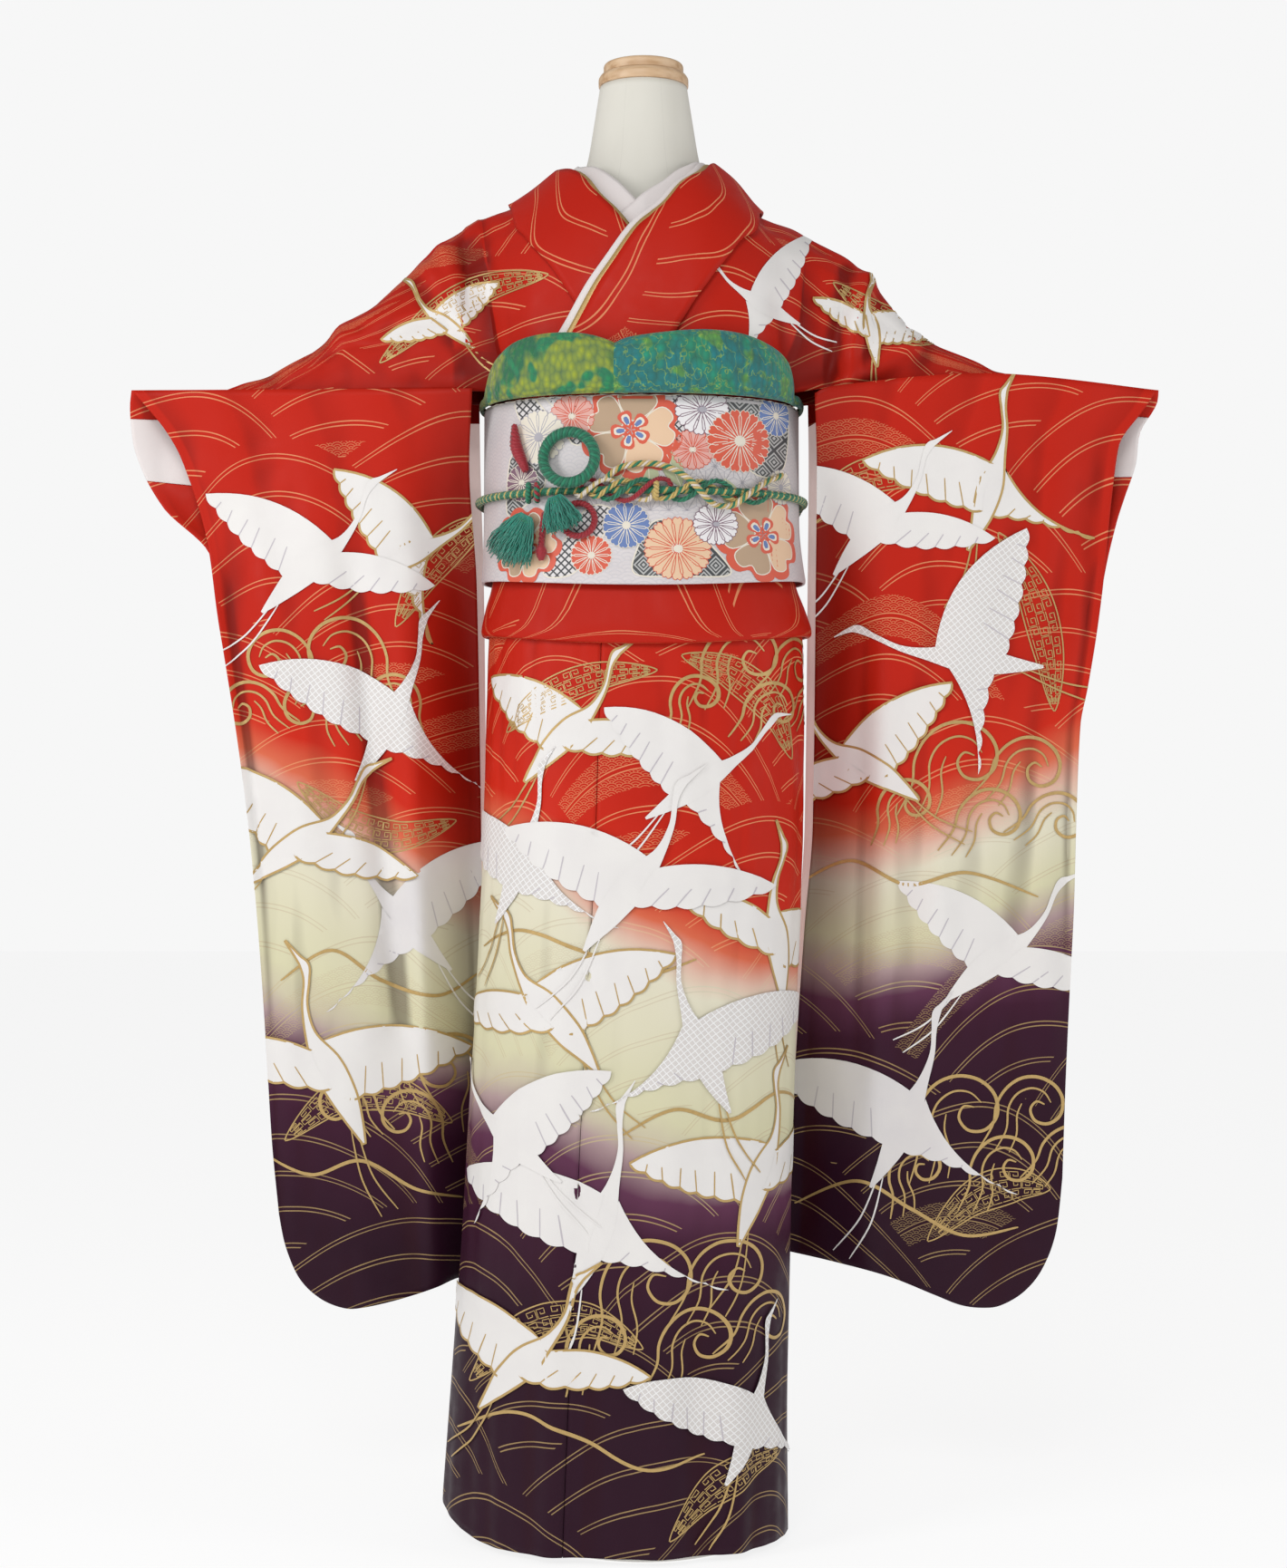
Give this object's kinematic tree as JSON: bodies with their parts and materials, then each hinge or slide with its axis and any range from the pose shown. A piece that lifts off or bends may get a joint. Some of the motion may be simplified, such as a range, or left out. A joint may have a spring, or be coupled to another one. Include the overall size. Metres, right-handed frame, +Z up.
{
  "type": "furisode on a dress form",
  "caption": "Long-sleeved formal kimono with wide sash, padded scarf and braided cord, dressed on a limbless dress form with a round base.",
  "frame": {"origin": "middle of the round base's underside, on the floor", "axes": "+Z up along the pole, front of the garment towards -Y, wearer's left towards +X"},
  "size_m": [1.022, 0.3704, 1.454],
  "materials": {
    "red_silk": "satin",
    "dyed_silk": "satin",
    "white_silk": "satin",
    "pink_silk": "satin",
    "gold_cloth": "satin",
    "sash_brocade": "woven",
    "green_crepe": "crepe",
    "teal_crepe": "crepe",
    "green_cord": "braided",
    "red_cord": "braided",
    "gold_cord": "braided",
    "form_cloth": "plain weave",
    "light_wood": "oiled",
    "base_paint": "satin"
  },
  "bodies": {
    "root": {"bodice_left": "red_silk", "bodice_right": "red_silk", "collar_left": "red_silk", "collar_right": "red_silk", "waist_tuck": "red_silk", "skirt_back_left": "dyed_silk", "skirt_back_right": "dyed_silk", "skirt_front_under": "dyed_silk", "skirt_front_over": "dyed_silk", "overlap_under": "dyed_silk", "overlap_over": "dyed_silk", "sleeve_left_front": "dyed_silk", "sleeve_left_back": "dyed_silk", "sleeve_right_front": "dyed_silk", "sleeve_right_back": "dyed_silk", "inner_collar_left": "white_silk", "inner_collar_right": "white_silk", "collar_trim_white": "white_silk", "sleeve_left_cuff_lining": "white_silk", "sleeve_right_cuff_lining": "white_silk", "sleeve_left_edge_lining": "pink_silk", "sleeve_right_edge_lining": "pink_silk", "collar_trim_left": "gold_cloth", "collar_trim_right": "gold_cloth", "sash_wrap": "sash_brocade", "sash_drum": "sash_brocade", "sash_flap": "sash_brocade", "sash_hand": "sash_brocade", "scarf_left": "green_crepe", "scarf_right": "teal_crepe", "scarf_back": "teal_crepe", "cord_belt": "green_cord", "cord_loop_green": "green_cord", "cord_wrap_knot_left": "green_cord", "tassel_left": "green_cord", "tassel_right": "green_cord", "cord_loop_red": "red_cord", "cord_end_red": "red_cord", "cord_stem_red": "red_cord", "cord_wrap_knot_right": "red_cord", "cord_gold_strand": "gold_cord", "cord_wrap_gold": "gold_cord", "form_body": "form_cloth", "neck_cap_lower": "light_wood", "neck_cap_upper": "light_wood", "form_pole": "base_paint", "form_base": "base_paint"}
  },
  "joints": []
}
